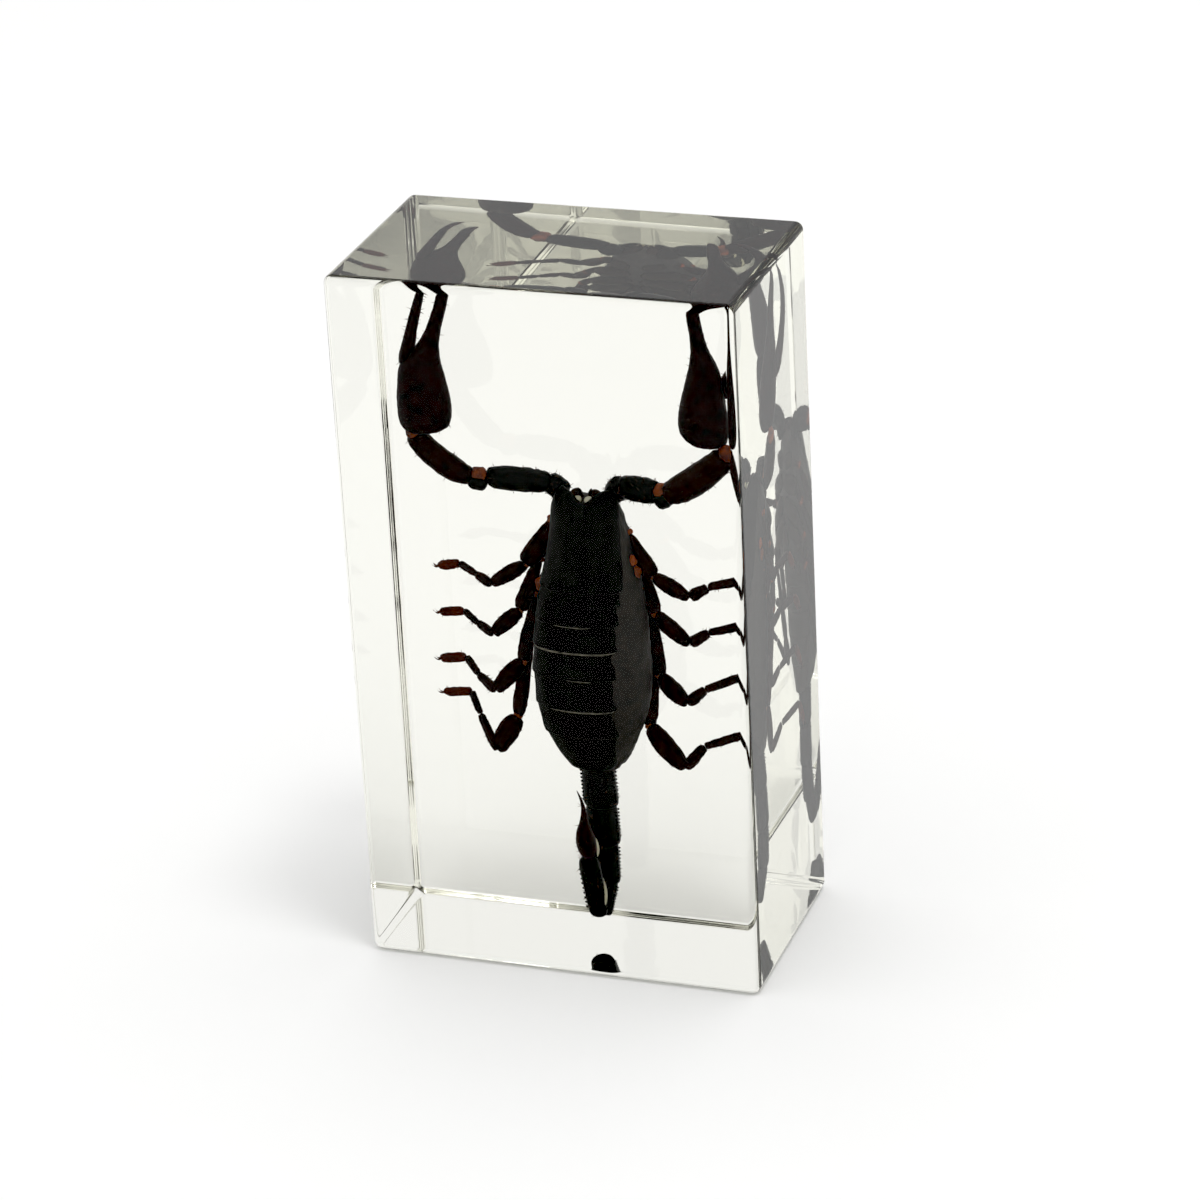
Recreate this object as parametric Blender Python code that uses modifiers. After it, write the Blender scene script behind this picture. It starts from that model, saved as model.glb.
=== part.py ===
"""A scorpion cast in a clear resin block: the block, as one solid.

Metres, +Z up. The block stands on one short end, its wide show face towards -Y.
The origin is the centre of that bottom end, on the surface the block stands on.
"""

import bpy

BLOCK_WIDTH = 0.041
BLOCK_DEPTH = 0.024
BLOCK_HEIGHT = 0.073

# The mould leaves every edge and corner evenly rounded.
EDGE_RADIUS = 0.0009
EDGE_SEGMENTS = 6

RESIN_COLOUR = (0.94, 0.94, 0.90, 1.0)
RESIN_ROUGHNESS = 0.02
RESIN_IOR = 1.55

COLLECTION_NAME = "scorpion_in_resin_block"


def clear_scene():
    for old in list(bpy.data.objects):
        bpy.data.objects.remove(old, do_unlink=True)


def part_collection():
    collection = bpy.data.collections.new(COLLECTION_NAME)
    bpy.context.scene.collection.children.link(collection)
    return collection


def resin_material():
    material = bpy.data.materials.new("clear_resin")
    material.use_nodes = True
    shader = material.node_tree.nodes["Principled BSDF"]
    shader.inputs["Base Color"].default_value = RESIN_COLOUR
    shader.inputs["Roughness"].default_value = RESIN_ROUGHNESS
    shader.inputs["Metallic"].default_value = 0.0
    shader.inputs["IOR"].default_value = RESIN_IOR
    shader.inputs["Transmission Weight"].default_value = 1.0
    return material


def round_edges(block):
    """Roll every edge of the block over to the mould's radius."""
    bevel = block.modifiers.new("mould_radius", "BEVEL")
    bevel.width = EDGE_RADIUS
    bevel.segments = EDGE_SEGMENTS
    bevel.limit_method = "NONE"
    bevel.harden_normals = True


def resin_block(collection):
    """The cast block, in one pour round the specimen."""
    bpy.ops.mesh.primitive_cube_add(size=1.0, location=(0.0, 0.0, BLOCK_HEIGHT / 2))
    block = bpy.context.object
    block.name = "resin_block"
    block.data.name = "resin_block"
    block.scale = (BLOCK_WIDTH, BLOCK_DEPTH, BLOCK_HEIGHT)
    bpy.ops.object.transform_apply(location=False, rotation=False, scale=True)
    round_edges(block)
    for polygon in block.data.polygons:
        polygon.use_smooth = True
    block.data.materials.append(resin_material())
    for other in list(block.users_collection):
        other.objects.unlink(block)
    collection.objects.link(block)
    return block


clear_scene()
resin_block(part_collection())
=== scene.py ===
import math
import random

import bmesh
import bpy
from mathutils import Matrix, Vector


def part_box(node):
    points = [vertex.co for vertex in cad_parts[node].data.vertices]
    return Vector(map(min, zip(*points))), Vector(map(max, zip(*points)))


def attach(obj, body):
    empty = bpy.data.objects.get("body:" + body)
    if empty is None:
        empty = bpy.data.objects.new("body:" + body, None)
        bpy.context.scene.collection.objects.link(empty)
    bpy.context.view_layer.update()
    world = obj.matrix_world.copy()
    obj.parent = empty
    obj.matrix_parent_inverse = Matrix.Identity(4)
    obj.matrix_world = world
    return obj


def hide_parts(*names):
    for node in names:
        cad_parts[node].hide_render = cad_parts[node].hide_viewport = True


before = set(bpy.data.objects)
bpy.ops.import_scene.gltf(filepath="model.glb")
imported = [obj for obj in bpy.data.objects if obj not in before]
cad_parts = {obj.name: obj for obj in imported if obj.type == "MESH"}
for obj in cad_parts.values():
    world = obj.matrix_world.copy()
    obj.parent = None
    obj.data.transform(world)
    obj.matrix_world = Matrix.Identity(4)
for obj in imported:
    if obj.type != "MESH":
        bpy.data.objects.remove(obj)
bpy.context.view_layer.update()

block_low, block_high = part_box("resin_block")
block_low, block_high = Vector(block_low), Vector(block_high)

# ---------------------------------------------------------------------------------------------
# Soft skin of the mid-body. It is a leathery bag between the back plates and the belly plates,
# folded along the flanks, and all the hard plates sit on it. Everything inside the block is laid
# out in millimetres of the block: x across it, y into it, z up from its base, with y = 0 on a
# plane that lies 11.25 mm behind the show face.
BLOCK_TALL = 73.0
PLANE_DEPTH = 11.25
mm = (block_high.z - block_low.z) / BLOCK_TALL
base_centre = Vector(((block_low.x + block_high.x) / 2, block_low.y + PLANE_DEPTH * mm, block_low.z))

# height, middle and half width of the plates, front of the back, middle and half width of the
# flanks, rear of the belly
BODY = [
    (49.1, 1.5, 2.3, 4.7, 1.6, 1.9, 8.1),
    (48.1, 1.45, 3.1, 4.2, 1.6, 2.6, 8.3),
    (46.4, 1.4, 3.45, 3.4, 1.8, 3.2, 9.0),
    (43.4, 1.4, 3.6, 2.5, 1.9, 3.8, 9.4),
    (40.4, 1.3, 3.95, 1.5, 2.0, 4.6, 9.3),
    (37.3, 1.0, 4.25, 0.3, 1.95, 5.3, 8.6),
    (34.4, 0.8, 4.3, -0.9, 1.9, 5.65, 7.6),
    (30.3, 0.65, 4.35, -1.6, 1.9, 6.0, 7.0),
    (26.3, 0.6, 4.15, -1.2, 1.75, 5.7, 6.8),
    (23.4, 0.75, 3.85, -0.2, 1.45, 4.8, 6.7),
    (21.0, 1.0, 3.2, 1.0, 1.35, 3.9, 6.6),
    (19.4, 1.2, 2.4, 2.0, 1.35, 2.75, 6.5),
    (18.2, 1.2, 1.75, 2.9, 1.25, 1.8, 6.4),
]


def body_at(z):
    """The body's six measures at a height, eased between the stations."""
    for upper, lower in zip(BODY, BODY[1:]):
        if z >= lower[0]:
            break
    share = min(1.0, max(0.0, (upper[0] - z) / (upper[0] - lower[0])))
    return [a + (b - a) * share for a, b in zip(upper[1:], lower[1:])]


class Wire:
    """One output of a shader node, which sums and products can be written with."""

    def __init__(self, finish, socket):
        self.finish = finish
        self.socket = socket

    def sum_with(self, operation, first, second):
        return self.finish.node("ShaderNodeMath", {"operation": operation}, {0: first, 1: second})

    def __add__(self, other):
        return self.sum_with("ADD", self, other)

    def __radd__(self, other):
        return self.sum_with("ADD", other, self)

    def __sub__(self, other):
        return self.sum_with("SUBTRACT", self, other)

    def __rsub__(self, other):
        return self.sum_with("SUBTRACT", other, self)

    def __mul__(self, other):
        return self.sum_with("MULTIPLY", self, other)

    def __rmul__(self, other):
        return self.sum_with("MULTIPLY", other, self)


class Finish:
    """A material under construction: an empty node tree, filled one node at a time."""

    def __init__(self, name):
        self.material = bpy.data.materials.new(name)
        self.material.use_nodes = True
        self.tree = self.material.node_tree
        self.tree.nodes.clear()

    def node(self, kind, settings=None, sockets=None, output=0):
        made = self.tree.nodes.new(kind)
        for key, value in (settings or {}).items():
            if key == "stops":
                self.set_stops(made.color_ramp, value)
            else:
                setattr(made, key, value)
        for key, value in (sockets or {}).items():
            if isinstance(value, Wire):
                self.tree.links.new(value.socket, made.inputs[key])
            else:
                made.inputs[key].default_value = value
        return Wire(self, made.outputs[output]) if made.outputs else made

    def set_stops(self, ramp, stops):
        while len(ramp.elements) < len(stops):
            ramp.elements.new(0.5)
        for element, (position, colour) in zip(ramp.elements, stops):
            element.position = position
            element.color = (*colour, 1.0)

    def noise(self, place, size_mm, detail=3.0, roughness=0.55):
        """Soft noise whose lumps are about size_mm across."""
        sockets = {"Vector": place, "Scale": 1 / (size_mm * mm), "Detail": detail}
        sockets["Roughness"] = roughness
        return self.node("ShaderNodeTexNoise", None, sockets)

    def surface(self, shader, volume=None):
        sockets = {"Surface": shader}
        if volume is not None:
            sockets["Volume"] = volume
        self.node("ShaderNodeOutputMaterial", None, sockets)
        return self.material


def skin_finish(name, dark, pale, glow, glow_share):
    """Leathery skin: blotched between two colours, wrinkled, and a little light gets through."""
    finish = Finish(name)
    place = finish.node("ShaderNodeTexCoord", output="Object")
    blotch = finish.noise(place, 1.1, 4.0, 0.65)
    pleat = finish.noise(place, 0.16, 2.0)
    colour = finish.node("ShaderNodeValToRGB", {"stops": [(0.35, dark), (0.68, pale)]}, {"Fac": blotch})
    bump = finish.node("ShaderNodeBump", None, {"Strength": 0.1, "Distance": 0.03 * mm, "Height": pleat})
    body = finish.node("ShaderNodeBsdfPrincipled", None, {
        "Base Color": colour, "Roughness": 0.45 + 0.25 * pleat, "Normal": bump})
    through = finish.node("ShaderNodeBsdfTranslucent", None, {"Color": (*glow, 1.0), "Normal": bump})
    share = glow_share * (0.4 + 1.2 * blotch)
    return finish.surface(finish.node("ShaderNodeMixShader", None, {0: share, 1: body, 2: through}))


FLANK_DARK = (0.002, 0.0017, 0.0014)
FLANK_PALE = (0.016, 0.011, 0.0065)
flank_finish = skin_finish("flank_skin", FLANK_DARK, FLANK_PALE, (0.35, 0.14, 0.05), 0.03)


CAGE = 1.047  # a ring of twelve corners is rounded to this much less than its cage


def drawn_out(name, rings, sides=12, rounding=2):
    """A closed piece drawn out of a disc, ring by ring: each is x, y, z, half width, half depth."""
    bpy.ops.object.select_all(action="DESELECT")
    bpy.ops.mesh.primitive_circle_add(vertices=sides, radius=1.0, fill_type="NGON", location=(0, 0, 0))
    piece = bpy.context.object
    piece.name = piece.data.name = name
    x, y, z, wide, deep = rings[0]
    bpy.ops.object.mode_set(mode="EDIT")
    bpy.ops.transform.resize(value=(wide * CAGE, deep * CAGE, 1.0))
    bpy.ops.transform.translate(value=(x, y, z))
    for (x0, y0, z0, wide0, deep0), (x1, y1, z1, wide1, deep1) in zip(rings, rings[1:]):
        step = (x1 - x0, y1 - y0, z1 - z0)
        bpy.ops.mesh.extrude_region_move(TRANSFORM_OT_translate={"value": step})
        bpy.ops.transform.resize(value=(wide1 / wide0, deep1 / deep0, 1.0))
    bpy.ops.mesh.select_all(action="SELECT")
    bpy.ops.mesh.normals_make_consistent(inside=False)
    bpy.ops.object.mode_set(mode="OBJECT")
    smooth_over(piece, rounding)
    return piece


def take_up(piece):
    """Select one piece alone and make it the active one."""
    bpy.ops.object.select_all(action="DESELECT")
    piece.select_set(True)
    bpy.context.view_layer.objects.active = piece


def smooth_over(piece, rounding):
    """Subdivide a piece and shade it smooth."""
    if rounding:
        rounded = piece.modifiers.new("rounding", "SUBSURF")
        rounded.levels = rounded.render_levels = rounding
        apply_all(piece)
    for polygon in piece.data.polygons:
        polygon.use_smooth = True


def apply_all(piece):
    """Apply a piece's modifiers, first to last."""
    take_up(piece)
    for modifier in list(piece.modifiers):
        bpy.ops.object.modifier_apply(modifier=modifier.name)


def set_down(piece, matrix):
    """Give a piece its place, and put that place into its mesh."""
    piece.matrix_world = matrix
    take_up(piece)
    bpy.ops.object.transform_apply(location=True, rotation=True, scale=True)
    return piece


IN_BLOCK = Matrix.Translation(base_centre) @ Matrix.Scale(mm, 4)


def roughen(piece, height_mm, grain_mm):
    """Raise a fine uneven grain on a piece that is already in place."""
    grain = bpy.data.textures.new(piece.name + "_grain", "CLOUDS")
    grain.noise_scale = grain_mm * mm
    grain.noise_depth = 2
    lumps = piece.modifiers.new("grain", "DISPLACE")
    lumps.texture = grain
    lumps.texture_coords = "LOCAL"
    lumps.strength = height_mm * mm
    lumps.mid_level = 0.5
    apply_all(piece)


def sealed_in(piece, finish):
    """Give a piece its finish. The block holds the whole specimen, so each piece rides with it."""
    piece.data.materials.clear()
    piece.data.materials.append(finish)
    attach(piece, "root")
    return piece


flank_rings = []
for z, _, _, back, middle, half, belly in BODY[1:]:
    flank_rings.append((middle, (back + belly) / 2 + 0.25, z, half, (belly - back) / 2 - 0.45))
flank = drawn_out("flank_skin", flank_rings, sides=24, rounding=3)
set_down(flank, IN_BLOCK)
roughen(flank, 0.35, 0.9)
sealed_in(flank, flank_finish)

# ---------------------------------------------------------------------------------------------
# Back plates and fore-body shield. They are hard black horn, arched over the soft skin, and each
# plate's rear edge lies over the next one. The shield carries a groove and the eye mound.
PLATE_EDGES = [39.10, 37.72, 35.84, 33.22, 30.30, 26.83, 23.57, 19.41]
PLATE_THICK = 0.28
PLATE_OVERLAP = 0.35
PLATE_DROP = 2.3  # how far a plate's sides fall away behind its middle
PLATE_LIFT = 0.28  # how far its rear edge stands off the next plate
PLATE_SWING = math.radians(86)  # how far round the back it reaches on each side
PLATE_CURL = 0.25  # how far its side corners run up


def horn_finish(name, dark, sheen, glow, glow_share, grain_mm=0.22, shine=0.32):
    """Horn: nearly black, finely grained, softly glossy, glowing red where it is thin."""
    finish = Finish(name)
    place = finish.node("ShaderNodeTexCoord", output="Object")
    cloud = finish.noise(place, 1.6, 4.0, 0.6)
    grain = finish.noise(place, grain_mm, 3.0, 0.6)
    colour = finish.node("ShaderNodeValToRGB", {"stops": [(0.3, dark), (0.75, sheen)]}, {"Fac": cloud})
    bump = finish.node("ShaderNodeBump", None, {"Strength": 0.06, "Distance": 0.02 * mm, "Height": grain})
    body = finish.node("ShaderNodeBsdfPrincipled", None, {
        "Base Color": colour, "Roughness": shine + 0.12 * cloud, "Normal": bump,
        "Specular IOR Level": 0.08})
    through = finish.node("ShaderNodeBsdfTranslucent", None, {"Color": (*glow, 1.0), "Normal": bump})
    share = glow_share * (0.3 + 1.4 * cloud)
    return finish.surface(finish.node("ShaderNodeMixShader", None, {0: share, 1: body, 2: through}))


BLACK = (0.001, 0.0014, 0.0013)
GREEN_BLACK = (0.006, 0.0075, 0.0065)
black_horn = horn_finish("black_horn", BLACK, GREEN_BLACK, (0.2, 0.02, 0.01), 0.01)


def flat_sheet(name, across, down):
    """A flat net of faces, from -1 to 1 both ways, ready to be bent."""
    bpy.ops.object.select_all(action="DESELECT")
    centre = (0, 0, 0)
    bpy.ops.mesh.primitive_grid_add(x_subdivisions=across, y_subdivisions=down, size=2.0, location=centre)
    sheet = bpy.context.object
    sheet.name = sheet.data.name = name
    return sheet


def thicken(sheet, thickness):
    """Give a bent sheet its thickness and soft edges, and set it in the block."""
    bpy.ops.object.mode_set(mode="EDIT")
    bpy.ops.mesh.select_all(action="SELECT")
    bpy.ops.mesh.normals_make_consistent(inside=False)
    bpy.ops.object.mode_set(mode="OBJECT")
    wall = sheet.modifiers.new("thickness", "SOLIDIFY")
    wall.thickness = thickness
    wall.offset = 0.0
    smooth_over(sheet, 1)
    set_down(sheet, IN_BLOCK)


def arched_plate(name, top, bottom, across=28, down=8):
    """A plate bent over the back between two heights, with its rear edge lifted over the next."""
    plate = flat_sheet(name, across, down)
    for vertex in plate.data.vertices:
        u, v = vertex.co.x, (1.0 - vertex.co.y) / 2
        z = top + (bottom - PLATE_OVERLAP - top) * v
        middle, half, back = body_at(z)[:3]
        lift = PLATE_LIFT * v * v
        swing = u * PLATE_SWING
        x = middle + (half + lift * 0.5) * math.sin(swing)
        y = back - lift + PLATE_DROP * (1.0 - math.cos(swing))
        vertex.co = (x, y, z + PLATE_CURL * abs(u) ** 3)
    return plate


def harden(plate):
    """Finish a bent plate as black horn."""
    thicken(plate, PLATE_THICK)
    roughen(plate, 0.12, 1.4)
    sealed_in(plate, black_horn)


for number, (top, bottom) in enumerate(zip(PLATE_EDGES, PLATE_EDGES[1:]), start=1):
    harden(arched_plate(f"back_plate_{number}", top, bottom))

SHIELD_TOP = 48.8
shield = arched_plate("fore_body_shield", SHIELD_TOP, PLATE_EDGES[0], across=36, down=28)
for vertex in shield.data.vertices:
    x, y, z = vertex.co
    aside = abs(x - body_at(z)[0])
    along = (SHIELD_TOP - z) / (SHIELD_TOP - PLATE_EDGES[0])
    groove = 0.35 * math.exp(-(aside / 0.45) ** 2) * min(1.0, along * 3)
    mound = 0.55 * math.exp(-(aside / 0.7) ** 2 - ((along - 0.42) / 0.1) ** 2)
    notch = 1.3 * math.exp(-(aside / 1.0) ** 2) * max(0.0, 1.0 - along * 4)
    cheek = 0.25 * math.exp(-((aside - 1.7) / 0.7) ** 2 - ((along - 0.7) / 0.2) ** 2)
    vertex.co = (x, y + groove - mound - cheek, z - notch)
harden(shield)

# ---------------------------------------------------------------------------------------------
# Eyes. One pair of round eyes tops the mound in the middle of the shield, and three smaller ones
# sit in a row at each front corner. They are glassy black lenses in raised rims.
EYE_BLACK = (0.002, 0.002, 0.002)
EYE_SHEEN = (0.006, 0.005, 0.004)
eye_finish = horn_finish("eye_lens", EYE_BLACK, EYE_SHEEN, (0.1, 0.02, 0.01), 0.01, 0.5, 0.12)
MOUND_Z = SHIELD_TOP - 0.42 * (SHIELD_TOP - PLATE_EDGES[0])


def eye(name, x, y, z, radius):
    """A lens bulging from a short rim."""
    rings = [(0, 0, -0.6, 1.15, 1.15), (0, 0, 0.0, 1.25, 1.25), (0, 0, 0.12, 0.98, 0.98),
             (0, 0, 0.5, 0.86, 0.86), (0, 0, 0.78, 0.5, 0.5), (0, 0, 0.86, 0.2, 0.2)]
    lens = drawn_out(name, rings, sides=12, rounding=1)
    outward = Matrix.Rotation(math.radians(90), 4, "X")
    set_down(lens, IN_BLOCK @ Matrix.Translation((x, y, z)) @ outward @ Matrix.Scale(radius, 4))
    return sealed_in(lens, eye_finish)


mound_middle, _, mound_back = body_at(MOUND_Z)[:3]
for side, word in ((-1, "left"), (1, "right")):
    eye(f"middle_eye_{word}", mound_middle + side * 0.42, mound_back + 0.05, MOUND_Z, 0.28)
    for step in range(3):
        eye(f"side_eye_{word}_{step + 1}", mound_middle + side * (2.75 + 0.1 * step), 5.0 + 0.1 * step,
            47.9 - 0.42 * step, 0.15)

# ---------------------------------------------------------------------------------------------
# Soft edges of the back plates. A thin broken pale line runs along their rear edges: partly pale skin
# where the plates have shrunk, partly a painted reflection of the white glint on those edges.
EDGE_STRIP_THICK = 0.12
# painted reflection: the strips' pale colour and glow stand in for white glints along the plate edges, over
# real pale skin
pale_skin_and_glint = skin_finish("pale_edge_skin", (0.02, 0.018, 0.014), (0.30, 0.28, 0.22), (0.5, 0.45, 0.3), 0.15)


def edge_strip(name, z, width, left, right):
    """A narrow strip along a plate's rear edge, from one side to the other."""
    strip = flat_sheet(name, 40, 2)
    for vertex in strip.data.vertices:
        u = left + (right - left) * (vertex.co.x + 1.0) / 2
        taper = 1.0 - vertex.co.x ** 4
        height = z - PLATE_OVERLAP + (vertex.co.y - 0.6) * width * taper * 0.5
        middle, half, back = body_at(height)[:3]
        swing = u * PLATE_SWING
        vertex.co = (middle + (half + 0.1) * math.sin(swing),
                     back - 0.2 + PLATE_DROP * (1.0 - math.cos(swing)), height + PLATE_CURL * abs(u) ** 3)
    thicken(strip, EDGE_STRIP_THICK)
    sealed_in(strip, pale_skin_and_glint)


# behind which plate, and from where to where across it, and how wide
EDGE_LINES = {3: (-0.35, 0.25, 0.16), 4: (-0.95, 0.9, 0.26), 5: (-0.1, 0.3, 0.14), 6: (-0.45, 0.85, 0.22)}
for number, (left, right, width) in EDGE_LINES.items():
    edge_strip(f"plate_edge_skin_{number - 1}", PLATE_EDGES[number - 1], width, left, right)

# ---------------------------------------------------------------------------------------------
# Belly. Five broad plates close the underside, with a small breastplate, the leg hips in four
# rows in front of them, and a pair of combs behind the last hips. All face the block's back.
BELLY_DARK = (0.006, 0.005, 0.004)
BELLY_SHEEN = (0.03, 0.022, 0.015)
belly_horn = horn_finish("belly_horn", BELLY_DARK, BELLY_SHEEN, (0.25, 0.05, 0.02), 0.08)
BELLY_EDGES = [34.2, 31.2, 28.2, 25.2, 22.0, 18.9]
BELLY_SWING = math.radians(84)
BELLY_DROP = 1.3  # how far a belly plate's sides fall away in front of its middle


def belly_plate(name, top, bottom):
    """A plate bent round the belly between two heights."""
    plate = flat_sheet(name, 24, 6)
    for vertex in plate.data.vertices:
        u, v = vertex.co.x, (1.0 - vertex.co.y) / 2
        z = top + (bottom - 0.25 - top) * v
        middle, half, belly = body_at(z)[3:]
        swing = u * BELLY_SWING
        x = middle + half * 0.85 * math.sin(swing)
        vertex.co = (x, belly + 0.05 + 0.2 * v * v - BELLY_DROP * (1.0 - math.cos(swing)), z)
    thicken(plate, 0.3)
    roughen(plate, 0.06, 0.5)
    sealed_in(plate, belly_horn)


for number, (top, bottom) in enumerate(zip(BELLY_EDGES, BELLY_EDGES[1:]), start=1):
    belly_plate(f"belly_plate_{number}", top, bottom)


def between(root, tip, wide, deep, front=(0.0, -1.0, 0.0)):
    """The matrix that stretches a unit piece, drawn along +Z, from root to tip."""
    root, tip = Vector(root), Vector(tip)
    along = tip - root
    up = along.normalized()
    back = -Vector(front)
    back = (back - up * back.dot(up)).normalized()
    side = back.cross(up)
    axes = Matrix((side * wide, back * deep, along)).transposed().to_4x4()
    return IN_BLOCK @ Matrix.Translation(root) @ axes


def copy_between(pattern, name, root, tip, wide, deep, front=(0.0, -1.0, 0.0)):
    """A copy of a pattern piece with its own mesh, stretched from root to tip."""
    piece = bpy.data.objects.new(name, pattern.data.copy())
    piece.data.name = name
    bpy.context.scene.collection.objects.link(piece)
    return set_down(piece, between(root, tip, wide, deep, front))


def unit_rings(*widths, bow=0.0):
    """Rings of a unit piece from pairs of share of length and half width, bowed to one side."""
    return [(bow * 4 * t * (1 - t), 0.0, t, w, w) for t, w in widths]


def joined(name, pieces, finish):
    """Several bodies made one piece, keeping each one's finish."""
    bpy.ops.object.select_all(action="DESELECT")
    for piece in pieces:
        piece.select_set(True)
    bpy.context.view_layer.objects.active = pieces[0]
    if len(pieces) > 1:
        bpy.ops.object.join()
    whole = bpy.context.object
    whole.name = whole.data.name = name
    if finish is not None:
        whole.data.materials.clear()
        whole.data.materials.append(finish)
    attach(whole, "root")
    return whole


hip_pattern = drawn_out("hip_pattern", unit_rings(
    (0, 0.5), (0.1, 0.8), (0.4, 1.0), (0.75, 0.95), (0.93, 0.8), (1, 0.5)))
comb_pattern = drawn_out("comb_pattern", unit_rings(
    (0, 0.6), (0.15, 1.0), (0.7, 0.9), (1, 0.4), bow=-0.4), sides=8, rounding=1)

BODY_X = 1.6  # the middle line of the underside
COMB_TEETH = 14
# each hip: inner end, outer end, thickness, for the left side; the right side mirrors it
HIPS = [
    ((0.7, 9.0, 45.4), (2.7, 7.9, 45.6), 0.95),
    ((0.6, 9.3, 43.6), (4.4, 8.1, 42.4), 1.1),
    ((0.6, 9.3, 41.4), (4.9, 8.2, 38.6), 1.1),
    ((0.6, 9.0, 39.4), (5.0, 8.2, 36.0), 1.1),
]
hips = []
for side in (-1, 1):
    for inner, outer, thick in HIPS:
        ends = [(BODY_X + side * x, y, z) for x, y, z in (inner, outer)]
        hips.append(copy_between(hip_pattern, "hip", ends[0], ends[1], thick, thick * 0.9))
joined("leg_hips", hips, belly_horn)
BREASTPLATE = ((35.6, 0.8), (36.0, 1.3), (37.2, 1.2), (38.6, 0.6), (38.9, 0.3))
breast = drawn_out("breastplate", [(BODY_X, 9.2, z, wide, 0.5) for z, wide in BREASTPLATE])
set_down(breast, IN_BLOCK)
sealed_in(breast, belly_horn)
comb_teeth = []
for side in (-1, 1):
    root, tip = Vector((BODY_X + side * 0.9, 8.7, 35.4)), Vector((BODY_X + side * 4.4, 7.9, 33.2))
    comb_teeth.append(copy_between(comb_pattern, "comb", root, tip, 0.32, 0.22))
    tooth = Vector((side * 0.1, 0.1, -0.85))
    for step in range(COMB_TEETH):
        foot = root.lerp(tip, 0.12 + 0.062 * step)
        comb_teeth.append(copy_between(comb_pattern, "comb_tooth", foot, foot + tooth, 0.13, 0.11))
joined("belly_combs", comb_teeth, belly_horn)

# ---------------------------------------------------------------------------------------------
# Mouth pincers. Two stubby jaws stick out under the front of the shield, each with a small hooked
# finger. Pale pads beside them are pale skin and a painted highlight, lit into their pale colour.
jaw_horn = horn_finish("jaw_horn", BLACK, (0.03, 0.014, 0.01), (0.6, 0.2, 0.1), 0.12, 0.25, 0.35)
# painted highlight: pale colour and strong glow standing in for glints, on the mouth pads and the tail-fold
# slivers
pale_glint_finish = skin_finish("mouth_skin", (0.6, 0.56, 0.38), (0.95, 0.94, 0.86), (1.0, 0.97, 0.8), 0.45)
for side, word in ((-1, "left"), (1, "right")):
    x = 1.5 + side * 1.05
    jaw = drawn_out(f"mouth_pincer_{word}", [
        (x, 6.6, 45.6, 0.8, 1.0), (x, 6.3, 46.7, 0.95, 1.1), (x + side * 0.05, 6.0, 47.8, 0.9, 1.0),
        (x - side * 0.05, 5.9, 48.4, 0.6, 0.7), (x - side * 0.15, 5.9, 48.75, 0.3, 0.35)])
    set_down(jaw, IN_BLOCK)
    hook = drawn_out("hook", [
        (x - side * 0.5, 5.6, 47.6, 0.32, 0.35), (x - side * 0.55, 5.4, 48.2, 0.3, 0.32),
        (x - side * 0.5, 5.3, 48.65, 0.2, 0.22), (x - side * 0.35, 5.3, 49.0, 0.07, 0.07)], sides=8)
    set_down(hook, IN_BLOCK)
    joined(f"mouth_pincer_{word}", [jaw, hook], jaw_horn)
for word, x, z, size in (("left", 0.7, 47.75, 0.5), ("right", 1.85, 47.85, 0.42)):
    pad = drawn_out(f"mouth_skin_{word}", [
        (x, 4.8, z - size, size * 0.5, 0.2), (x, 4.7, z - size * 0.3, size, 0.3),
        (x + 0.1, 4.7, z + size * 0.5, size, 0.25),
        (x + 0.2, 4.8, z + size, size * 0.4, 0.12)], sides=8)
    set_down(pad, IN_BLOCK)
    sealed_in(pad, pale_glint_finish)

# ---------------------------------------------------------------------------------------------
# Claw arms. Each is a short trochanter, a thigh, a forearm, a swollen hand drawn out into a fixed
# finger, and a moving finger hinged on the hand's outer side. Orange skin shows at the elbow.
red_horn = horn_finish("red_horn", BLACK, (0.016, 0.006, 0.004), (0.6, 0.08, 0.04), 0.1, 0.25, 0.35)
hand_horn = horn_finish("hand_horn", BLACK, (0.01, 0.006, 0.006), (0.6, 0.045, 0.02), 0.1, 0.28, 0.34)
joint_finish = skin_finish("joint_skin", (0.02, 0.006, 0.003), (0.45, 0.1, 0.015), (0.95, 0.25, 0.04), 0.3)

TROCHANTER = ((0, 0.6), (0.12, 0.9), (0.5, 1.0), (0.85, 0.9), (1, 0.6))
trochanter_pattern = drawn_out("trochanter_pattern", unit_rings(*TROCHANTER))
ARM_THIGH = ((0, 0.55), (0.06, 0.8), (0.25, 0.95), (0.55, 1.0), (0.85, 0.93), (0.96, 0.72), (1, 0.5))
FOREARM = ((0, 0.5), (0.07, 0.8), (0.25, 1.02), (0.5, 1.0), (0.8, 0.96), (0.95, 0.8), (1, 0.55))


def limb(name, root, tip, profile, wide, deep, bow=0.0):
    """A limb piece drawn out for its own place, bowed sideways by bow millimetres."""
    piece = drawn_out(name, unit_rings(*profile, bow=bow / wide))
    return set_down(piece, between(root, tip, wide, deep))


bead_pattern = drawn_out("joint_bead_pattern", unit_rings(
    (0, 0.5), (0.2, 0.9), (0.5, 1.0), (0.8, 0.9), (1, 0.5)), rounding=1)

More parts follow.
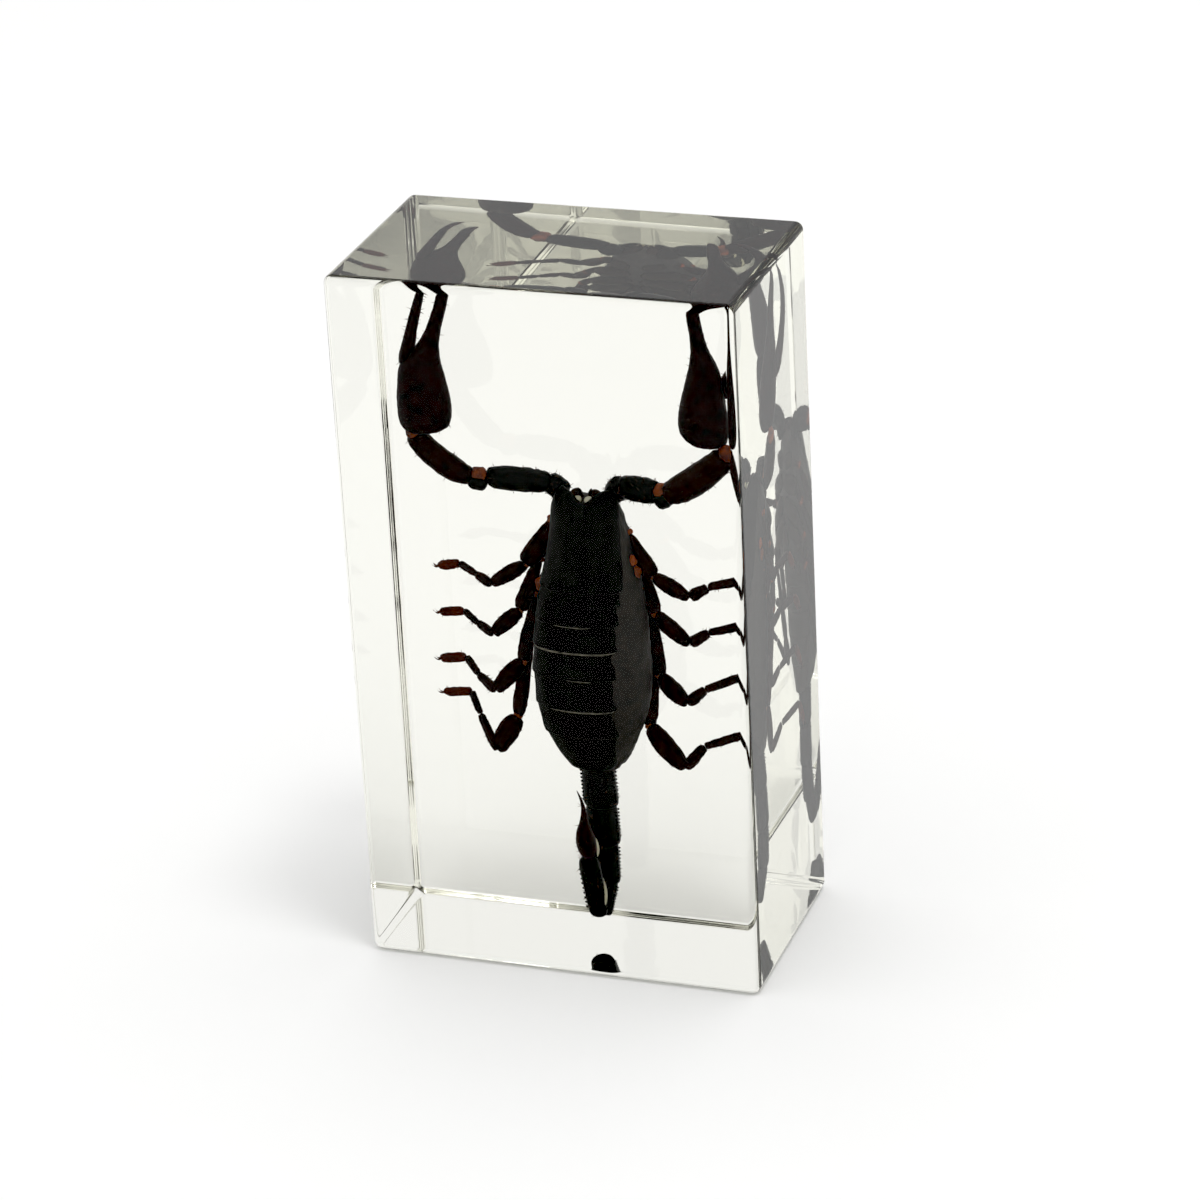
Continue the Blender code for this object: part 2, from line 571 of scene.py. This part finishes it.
# each piece of an arm: its two ends, half thickness and bow
ARMS = {
    "left": {
        "trochanter": ((-0.9, 7.2, 47.6), (-2.6, 6.5, 49.35), 1.25, 0.0),
        "thigh": ((-2.1, 6.5, 48.98), (-8.75, 5.6, 49.2), 1.32, 0.0),
        "elbow": ((-8.5, 5.5, 49.3), (-10.6, 5.2, 49.15), 1.05, 0.0),
        "forearm": ((-10.1, 5.3, 48.9), (-15.57, 2.6, 54.09), 1.34, -0.62),
        "wrist": ((-15.19, 2.6, 53.59), (-15.69, 2.4, 54.76), 0.8, 0.0),
    },
    "right": {
        "trochanter": ((3.9, 7.2, 47.7), (5.3, 6.5, 49.75), 1.22, 0.0),
        "thigh": ((4.8, 6.5, 49.15), (9.2, 5.6, 49.05), 1.38, 0.0),
        "elbow": ((8.6, 5.5, 49.1), (10.49, 5.2, 49.15), 1.15, 0.0),
        "forearm": ((9.7, 5.3, 48.75), (16.8, 1.8, 54.55), 1.46, 0.35),
        "wrist": ((16.55, 1.9, 54.1), (17.16, 1.6, 55.48), 0.85, 0.0),
    },
}
CAP_SHIFT = Vector((0, -0.15, -0.5))  # the dark cap sits below the elbow's skin
arm_pieces = {}
for word, arm in ARMS.items():
    joints = []
    for part, profile in (("trochanter", TROCHANTER), ("thigh", ARM_THIGH), ("forearm", FOREARM)):
        root, tip, thick, bow = arm[part]
        piece = limb(f"arm_{part}_{word}", root, tip, profile, thick, thick * 0.9, bow)
        roughen(piece, 0.3, 0.45)
        horn = red_horn if part == "forearm" else black_horn
        arm_pieces[word, part] = sealed_in(piece, horn)
    for part in ("elbow", "wrist"):
        root, tip, thick, _ = arm[part]
        joints.append(copy_between(bead_pattern, "joint", root, tip, thick, thick))
    root, tip, thick, _ = arm["elbow"]
    root, tip = Vector(root) + CAP_SHIFT, Vector(tip) + CAP_SHIFT
    cap = copy_between(bead_pattern, f"elbow_cap_{word}", root, tip, thick * 0.95, thick)
    roughen(cap, 0.4, 0.6)
    sealed_in(cap, black_horn)
    roughen(joined(f"arm_joint_skin_{word}", joints, joint_finish), 0.5, 0.8)

# Rings of the hand and its fixed finger, from the wrist up: left edge, right edge, depth, height,
# half thickness. The left hand's fixed finger is the inner one, and so is the right hand's.
HANDS = {
    "left": {
        "hand": [(-15.9, -13.8, 2.5, 54.0, 0.9), (-16.35, -12.35, 2.5, 54.45, 1.3),
                 (-16.78, -11.52, 2.6, 55.0, 1.7), (-16.93, -11.26, 2.7, 56.2, 1.95),
                 (-16.93, -11.3, 2.9, 57.4, 2.05), (-16.9, -11.57, 3.1, 58.7, 2.0),
                 (-16.8, -12.0, 3.5, 60.2, 1.8), (-16.55, -12.45, 4.0, 61.4, 1.5),
                 (-15.1, -12.62, 4.5, 62.6, 1.15), (-14.55, -12.62, 4.9, 63.4, 0.95),
                 (-14.05, -12.5, 5.3, 64.3, 0.85), (-13.66, -12.26, 5.9, 65.5, 0.75),
                 (-13.25, -11.95, 6.5, 66.7, 0.68), (-13.1, -11.8, 7.0, 67.9, 0.6),
                 (-12.21, -11.32, 7.1, 68.86, 0.4), (-11.42, -11.02, 6.9, 69.56, 0.12)],
        "finger": [(-16.8, -15.5, 3.9, 60.8, 0.9), (-16.75, -15.15, 4.1, 61.7, 1.1),
                   (-16.45, -15.05, 4.7, 62.95, 0.9), (-16.13, -14.96, 5.3, 64.2, 0.75),
                   (-15.77, -14.67, 6.1, 65.8, 0.65), (-15.5, -14.51, 6.6, 66.75, 0.58),
                   (-15.26, -14.42, 7.1, 67.7, 0.5), (-14.53, -13.69, 7.6, 68.85, 0.4),
                   (-13.69, -13.1, 7.7, 69.64, 0.26), (-12.9, -12.65, 7.5, 70.15, 0.1)],
    },
    "right": {
        "hand": [(14.0, 16.0, 1.9, 55.15, 0.9), (13.0, 16.8, 2.1, 55.5, 1.3),
                 (12.2, 16.9, 2.4, 56.1, 1.7), (11.85, 17.0, 2.7, 57.0, 1.95),
                 (11.95, 16.75, 3.1, 58.7, 2.05), (12.3, 16.5, 3.4, 60.2, 2.0),
                 (12.7, 16.2, 3.9, 61.8, 1.8), (12.95, 15.8, 4.3, 63.0, 1.5),
                 (13.05, 15.1, 4.7, 64.0, 1.15), (13.0, 14.6, 5.1, 64.8, 0.95),
                 (12.9, 14.3, 5.4, 65.7, 0.85), (12.6, 14.0, 5.8, 66.8, 0.75),
                 (12.45, 13.8, 6.2, 67.6, 0.68), (12.35, 13.6, 6.6, 68.5, 0.55),
                 (12.32, 13.2, 6.8, 69.3, 0.38), (12.45, 12.8, 6.7, 69.95, 0.12)],
        "finger": [(14.9, 16.9, 4.4, 59.6, 1.1), (15.6, 17.8, 4.8, 61.2, 1.3),
                   (16.6, 18.3, 5.3, 62.8, 1.05), (17.2, 18.5, 5.7, 64.2, 0.85),
                   (17.4, 18.6, 6.1, 65.6, 0.72), (17.2, 18.3, 6.5, 66.9, 0.62),
                   (16.7, 17.65, 6.8, 68.0, 0.52), (16.0, 16.8, 7.0, 69.0, 0.4),
                   (15.2, 15.8, 7.1, 69.9, 0.26), (14.6, 14.85, 6.9, 70.5, 0.1)],
    },
}
for word, rings_of in HANDS.items():
    for part in ("hand", "finger"):
        rings = [((a + b) / 2, y, z, (b - a) / 2, deep) for a, b, y, z, deep in rings_of[part]]
        name = f"hand_and_fixed_finger_{word}" if part == "hand" else f"moving_finger_{word}"
        piece = drawn_out(name, rings, sides=12, rounding=3 if part == "hand" else 2)
        set_down(piece, IN_BLOCK)
        roughen(piece, 0.12, 0.45)
        arm_pieces[word, part] = sealed_in(piece, hand_horn)

# ---------------------------------------------------------------------------------------------
# Walking legs, four on a side. Each runs down along the flank as a trochanter and a thigh, turns
# out at the knee piece, comes back up as a shin, and ends in two foot pieces and a double claw.
FOOT_DARK = (0.012, 0.004, 0.003)
FOOT_RED = (0.09, 0.024, 0.012)
tarsus_horn = horn_finish("foot_horn", FOOT_DARK, FOOT_RED, (0.75, 0.22, 0.1), 0.22, 0.25, 0.4)
leg_thigh = drawn_out("leg_thigh_pattern", unit_rings(
    (0, 0.4), (0.06, 0.55), (0.3, 0.75), (0.6, 0.95), (0.85, 1.0), (0.96, 0.82), (1, 0.5)))
leg_knee = drawn_out("leg_knee_pattern", unit_rings(
    (0, 0.5), (0.07, 0.75), (0.28, 0.98), (0.5, 1.0), (0.75, 0.88), (0.93, 0.68), (1, 0.45), bow=0.08))
leg_shin = drawn_out("leg_shin_pattern", unit_rings(
    (0, 0.6), (0.1, 0.95), (0.35, 1.08), (0.7, 0.9), (0.92, 0.85), (1, 0.6)))
leg_foot = drawn_out("leg_foot_pattern", unit_rings(
    (0, 0.6), (0.1, 0.85), (0.5, 0.9), (0.9, 0.95), (1, 0.65)))
leg_toe = drawn_out("leg_toe_pattern", unit_rings(
    (0, 0.65), (0.1, 0.9), (0.4, 1.0), (0.8, 0.95), (0.94, 0.7), (1, 0.4)))
leg_claw = drawn_out("leg_claw_pattern", [
    (0, 0, 0, 1.0, 1.0), (-0.4, 0, 0.3, 0.8, 0.8), (-0.2, 0, 0.6, 0.55, 0.55), (0.9, 0, 0.9, 0.3, 0.3),
    (2.0, 0, 1.0, 0.1, 0.1)], sides=6, rounding=1)

# points of each leg: hip end, thigh root, thigh end, knee, shin end, foot end, toe end, and the
# half thickness of thigh, knee piece and shin
LEGS = {
    "left_1": ([(-1.48, 7.9, 45.73), (-2.28, 6.8, 44.75), (-5.05, 5.1, 40.22), (-8.41, 3.4, 38.21),
               (-10.18, 4.5, 38.81), (-12.15, 5.8, 39.49), (-14.62, 6.3, 38.87)], (1.05, 0.8, 0.55)),
    "left_2": ([(-2.75, 8.1, 42.72), (-4.04, 7.3, 40.50), (-5.89, 5.0, 35.17), (-8.48, 3.2, 32.83),
               (-10.35, 4.5, 33.51), (-12.02, 5.9, 34.29), (-14.79, 6.4, 33.78)], (0.85, 0.85, 0.52)),
    "left_3": ([(-3.43, 8.2, 38.90), (-4.61, 7.4, 36.51), (-5.90, 5.0, 29.60), (-8.55, 3.0, 26.64),
               (-10.62, 4.5, 27.82), (-12.10, 6.0, 29.20), (-15.06, 6.5, 28.58)], (0.8, 0.95, 0.55)),
    "left_4": ([(-3.8, 8.2, 36.30), (-5.25, 7.5, 33.48), (-6.65, 4.5, 23.55), (-8.70, 2.7, 20.05),
               (-10.70, 4.5, 23.42), (-11.79, 6.0, 25.40), (-14.94, 6.5, 24.88)], (0.8, 1.15, 0.52)),
    "right_1": ([(3.95, 7.9, 45.4), (5.35, 6.6, 44.1), (8.15, 5.3, 40.15), (11.97, 4.4, 38.49),
               (13.76, 4.9, 39.61), (17.2, 5.7, 40.5), (18.36, 6.6, 38.92)], (0.95, 0.9, 0.62)),
    "right_2": ([(5.6, 8.1, 42.73), (6.65, 7.2, 40.55), (8.25, 5.0, 36.15), (11.95, 3.6, 33.7),
               (13.68, 5.0, 34.72), (16.85, 7.5, 35.1), (18.00, 8.2, 33.62)], (0.85, 0.95, 0.6)),
    "right_3": ([(6.25, 8.2, 38.94), (7.25, 7.2, 36.75), (8.45, 4.8, 29.5), (11.62, 2.7, 27.45),
               (13.15, 4.5, 28.6), (16.6, 7.5, 29.6), (17.75, 8.3, 27.44)], (0.85, 1.05, 0.6)),
    "right_4": ([(6.36, 8.2, 36.34), (7.5, 7.2, 33.52), (7.2, 4.4, 24.0), (11.2, 2.3, 20.4),
               (12.8, 4.8, 22.25), (16.4, 8.2, 23.0), (17.89, 8.5, 20.96)], (0.9, 1.2, 0.6)),
}
leg_pieces = []
leg_joints = []
for word, (points, (thigh, knee, shin)) in LEGS.items():
    hip, root, bend, low, ankle, heel, toe = [Vector(point) for point in points]
    dark = [copy_between(trochanter_pattern, "trochanter", hip, root, thigh * 0.68, thigh * 0.68),
            copy_between(leg_thigh, "thigh", root, bend, thigh, thigh * 0.6),
            copy_between(leg_knee, "knee", bend, low, knee, knee * 0.55)]
    shins = [copy_between(leg_shin, "shin", low, ankle, shin, shin * 0.75),
             copy_between(leg_foot, "foot", ankle, heel, shin * 0.85, shin * 0.7)]
    toes = [copy_between(leg_toe, "toe", heel, toe, shin, shin * 0.8)]
    reach = (toe - heel).normalized()
    for lean in (-0.12, 0.12):
        start = toe - reach * 0.1 + Vector((0, lean, 0))
        point = start + reach * 0.7 + Vector((0, lean * 2, 0))
        toes.append(copy_between(leg_claw, "claw", start, point, 0.18, 0.11))
    for piece in dark + shins:
        piece.data.materials.append(red_horn)
    for piece in toes:
        piece.data.materials.append(tarsus_horn)
    leg = joined(f"leg_{word}", dark + shins + toes, None)
    roughen(leg, 0.22, 0.4)
    leg_pieces.append(leg)
    for centre, reach, size in (root, hip - root, thigh * 0.75), (bend, root - bend, knee * 0.45):
        reach = reach.normalized() * 0.4
        ends = centre - reach, centre + reach
        leg_joints.append(copy_between(bead_pattern, "joint", *ends, size, size * 0.7))

# where swollen joint skin shows between the thighs and the body: place and half thickness
SKIN_LUMPS = ((6.1, 5.0, 41.7, 0.42), (6.45, 5.0, 40.5, 0.5), (6.8, 5.0, 38.4, 0.4),
              (-3.6, 5.0, 38.2, 0.55), (-3.3, 5.0, 36.9, 0.4))
for x, y, z, size in SKIN_LUMPS:
    ends = (x, y, z + size * 1.4), (x, y, z - size * 1.4)
    leg_joints.append(copy_between(bead_pattern, "joint", *ends, size, size))
roughen(joined("leg_joint_skin", leg_joints, joint_finish), 0.45, 0.6)

# ---------------------------------------------------------------------------------------------
# Tail. Five rings hang from the mid-body, each with keels along it, and the last one folds back
# up in front. It carries the poison bulb and its thin curved sting.
ring_pattern = drawn_out("tail_ring_pattern", unit_rings(
    (0, 0.72), (0.05, 0.86), (0.15, 0.93), (0.5, 0.94), (0.82, 1.0), (0.94, 0.96), (1, 0.7)), sides=12)
RING_OVERLAP = 0.28  # how far each ring runs into its neighbours
KEELS = 8
KEEL_GRAINS = 9
# each ring: its two ends, half width and half depth
TAIL = [
    ("tail_ring_1", (1.5, 4.5, 19.2), (1.6, 5.0, 14.5), 1.88, 1.7),
    ("tail_ring_2", (1.6, 5.0, 14.5), (1.65, 5.2, 10.2), 1.8, 1.6),
    ("tail_ring_3", (1.65, 5.2, 10.2), (1.65, 4.7, 5.9), 1.65, 1.5),
    ("tail_ring_4", (1.85, 4.6, 6.1), (1.25, 3.0, 2.9), 1.35, 1.35),
    ("tail_ring_5", (1.3, 2.2, 3.05), (1.2, -1.1, 9.9), 1.15, 1.05),
]
tail_pieces = []
for name, root, tip, wide, deep in TAIL:
    overlap = (Vector(tip) - Vector(root)).normalized() * RING_OVERLAP
    ring = [copy_between(ring_pattern, name, Vector(root) - overlap, Vector(tip) + overlap, wide, deep)]
    on_ring = IN_BLOCK.inverted() @ between(root, tip, wide, deep)
    for keel in range(KEELS):
        turn = math.tau * (keel + 0.5) / KEELS
        for step in range(KEEL_GRAINS):
            share = 0.12 + 0.09 * step
            foot = Vector((math.cos(turn) * 0.93, math.sin(turn) * 0.93, share))
            out = Vector((math.cos(turn) * 1.03, math.sin(turn) * 1.03, share + 0.03))
            ring.append(copy_between(bead_pattern, "keel_grain", on_ring @ foot, on_ring @ out, 0.13, 0.09))
    tail_pieces.append(joined(name, ring, black_horn))
bulb = drawn_out("poison_bulb_and_sting", [
    (1.2, -1, 10.1, 0.5, 0.5), (1.18, -1.2, 10.6, 0.85, 0.8), (1.18, -1.6, 11.5, 1.05, 1.05),
    (1.15, -1.9, 12.6, 1.05, 1.1), (1.1, -1.9, 13.6, 0.8, 0.85), (1.05, -1.8, 14.3, 0.45, 0.5),
    (1.08, -1.75, 15.18, 0.3, 0.32), (1.08, -1.7, 16.07, 0.22, 0.24), (0.83, -1.6, 16.95, 0.13, 0.14),
    (0.39, -1.5, 17.84, 0.04, 0.04)])
set_down(bulb, IN_BLOCK)
roughen(bulb, 0.05, 0.5)
tail_pieces.append(sealed_in(bulb, red_horn))
# two pale slivers in the fold of the tail, beside the bulb and between the last two rings: painted
# highlights standing in for the bright glints there
slivers = []
for x, y, z, half, tall in ((2.35, -1.7, 11.7, 0.16, 1.1), (2.45, 0.6, 6.0, 0.19, 1.6)):
    sliver = drawn_out("sliver", [
        (x - half, y, z + tall, 0.04, 0.05), (x + half * 0.2, y, z + tall * 0.4, half * 0.7, 0.1),
        (x + half * 0.4, y, z - tall * 0.2, half, 0.12), (x, y, z - tall * 0.7, half * 0.7, 0.1),
        (x - half * 0.4, y, z - tall, 0.04, 0.05)], sides=8, rounding=1)
    slivers.append(set_down(sliver, IN_BLOCK))
joined("tail_fold_slivers", slivers, pale_glint_finish)

# ---------------------------------------------------------------------------------------------
# Bristles. Short stiff brown hairs stand on the arms, legs and tail. They are planted by a seeded
# draw over the pieces' faces, and lean a little at random.
bristle_finish = skin_finish("bristle", (0.03, 0.012, 0.008), (0.12, 0.05, 0.03), (0.4, 0.15, 0.08), 0.3)
bristle_pattern = drawn_out("bristle_pattern", [
    (0, 0, 0, 1.0, 1.0), (0.1, 0, 0.35, 0.8, 0.8), (0.4, 0, 0.7, 0.5, 0.5), (1.0, 0, 1.0, 0.12, 0.12)],
    sides=4, rounding=0)
BRISTLE_THICK = 0.028


def bristles(name, pieces, count, length_mm, seed):
    """Hairs planted on the pieces' faces, leaning a little at random."""
    draw = random.Random(seed)
    grown = bmesh.new()
    to_block = IN_BLOCK.inverted()
    for piece in pieces:
        # drawing out numbers a piece's faces differently each time, so they are put in order of place
        faces = sorted(piece.data.polygons, key=lambda polygon: [round(at, 6) for at in polygon.center])
        areas = [polygon.area for polygon in faces]
        for polygon in draw.choices(faces, weights=areas, k=count):
            root = to_block @ polygon.center
            out = polygon.normal.normalized()
            lean = Vector([draw.uniform(-0.5, 0.5) for _ in range(3)])
            tip = root + (out + lean).normalized() * length_mm * draw.uniform(0.5, 1.2)
            before = len(grown.verts)
            grown.from_mesh(bristle_pattern.data)
            grown.verts.ensure_lookup_table()
            place = between(root, tip, BRISTLE_THICK, BRISTLE_THICK, front=(0.3, -0.8, 0.5))
            for vertex in grown.verts[before:]:
                vertex.co = place @ vertex.co
    mesh = bpy.data.meshes.new(name)
    grown.to_mesh(mesh)
    grown.free()
    coat = bpy.data.objects.new(name, mesh)
    bpy.context.scene.collection.objects.link(coat)
    return sealed_in(coat, bristle_finish)


bristles("bristles_arms", list(arm_pieces.values()), 55, 0.4, 3)
bristles("bristles_legs", leg_pieces, 100, 0.3, 4)
bristles("bristles_tail", tail_pieces, 50, 0.45, 5)

for pattern in (hip_pattern, comb_pattern, trochanter_pattern, bead_pattern,
                leg_thigh, leg_knee, leg_shin, leg_foot, leg_toe, leg_claw, ring_pattern, bristle_pattern):
    bpy.data.objects.remove(pattern)

# ---------------------------------------------------------------------------------------------
# Resin block. Clear resin cast round the specimen in one piece, polished flat on all six faces,
# with every edge rolled over to a small radius.
EDGE_RADIUS = 0.9
EDGE_STEPS = 8
resin = Finish("clear_resin")
glassy = resin.node("ShaderNodeBsdfPrincipled", None, {
    "Base Color": (0.94, 0.94, 0.93, 1.0), "Roughness": 0.0, "IOR": 1.55, "Transmission Weight": 1.0})
tint = resin.node("ShaderNodeVolumeAbsorption", None, {
    "Color": (0.985, 0.983, 0.905, 1.0), "Density": 20.0})
resin.surface(glassy, tint)

bpy.ops.object.select_all(action="DESELECT")
bpy.ops.mesh.primitive_cube_add(size=1.0, location=(block_low + block_high) / 2)
block = bpy.context.object
block.name = block.data.name = "cast_resin_block"
block.scale = block_high - block_low
bpy.ops.object.transform_apply(location=True, rotation=True, scale=True)
roll = block.modifiers.new("rolled_edges", "BEVEL")
roll.width = EDGE_RADIUS * mm
roll.segments = EDGE_STEPS
roll.harden_normals = True
for polygon in block.data.polygons:
    polygon.use_smooth = True
apply_all(block)
block.data.materials.append(resin.material)
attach(block, "root")
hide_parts("resin_block")

# ---------------------------------------------------------------------------------------------
# Table, light and camera. A white table under an even white sky, with one small soft light high up
# on the right. The block stands a hair above the table, so that their faces don't coincide.
bpy.ops.object.select_all(action="DESELECT")
FLOOR_GAP = 0.00005
bpy.ops.mesh.primitive_plane_add(size=4.0, location=(0, 0, block_low.z - FLOOR_GAP))
floor = bpy.context.object
floor.name = floor.data.name = "table"
table = Finish("white_table")
table.surface(table.node("ShaderNodeBsdfPrincipled", None, {
    "Base Color": (0.985, 0.985, 0.98, 1.0), "Roughness": 0.8}))
floor.data.materials.append(table.material)

SKY_STRENGTH = 0.9
world = bpy.data.worlds.new("white_sky")
world.use_nodes = True
sky = world.node_tree.nodes["Background"]
sky.inputs["Color"].default_value = (1.0, 1.0, 1.0, 1.0)
sky.inputs["Strength"].default_value = SKY_STRENGTH
bpy.context.scene.world = world

LIGHT_PLACE = Vector((0.17, -0.1, 0.78))
bpy.ops.object.light_add(type="AREA", location=LIGHT_PLACE)
softbox = bpy.context.object
softbox.name = softbox.data.name = "softbox"
softbox.data.shape = "DISK"
softbox.data.size = 0.14
softbox.data.energy = 0.85
softbox.rotation_euler = LIGHT_PLACE.to_track_quat("Z", "Y").to_euler()

LENS = 141.05
CAMERA_DISTANCE = 466.0
CAMERA_TURN = math.radians(19.881)
CAMERA_RISE = math.radians(24.659)
CAMERA_ROLL = math.radians(-3.057)
CAMERA_ASIDE = 1.596
CAMERA_UP = -0.676
toward = Vector((math.sin(CAMERA_TURN) * math.cos(CAMERA_RISE),
                 -math.cos(CAMERA_TURN) * math.cos(CAMERA_RISE), math.sin(CAMERA_RISE)))
level = (-toward).cross(Vector((0, 0, 1))).normalized()
upright = level.cross(-toward)
right = level * math.cos(CAMERA_ROLL) + upright * math.sin(CAMERA_ROLL)
top = upright * math.cos(CAMERA_ROLL) - level * math.sin(CAMERA_ROLL)
eye_offset = toward * CAMERA_DISTANCE + right * CAMERA_ASIDE + top * CAMERA_UP
eye_place = (block_low + block_high) / 2 + eye_offset * mm
camera = bpy.data.objects.new("camera", bpy.data.cameras.new("camera"))
camera.data.lens = LENS
camera.data.sensor_width = 36.0
camera.data.clip_start = 0.01
camera_turned = Matrix((right, top, toward)).transposed().to_4x4()
camera.matrix_world = Matrix.Translation(eye_place) @ camera_turned
bpy.context.scene.collection.objects.link(camera)
bpy.context.scene.camera = camera
view = bpy.context.scene.view_settings
view.view_transform = "Standard"
view.use_curve_mapping = True
view.curve_mapping.black_level = (0.051, 0.051, 0.051)
view.curve_mapping.white_level = (0.955, 0.955, 0.955)
view.curve_mapping.update()
# light has to get through the resin and its inner reflections
BOUNCES = 24
bpy.context.scene.cycles.max_bounces = BOUNCES
bpy.context.scene.cycles.transmission_bounces = BOUNCES
bpy.context.scene.cycles.glossy_bounces = BOUNCES
bpy.context.scene.cycles.diffuse_bounces = 6
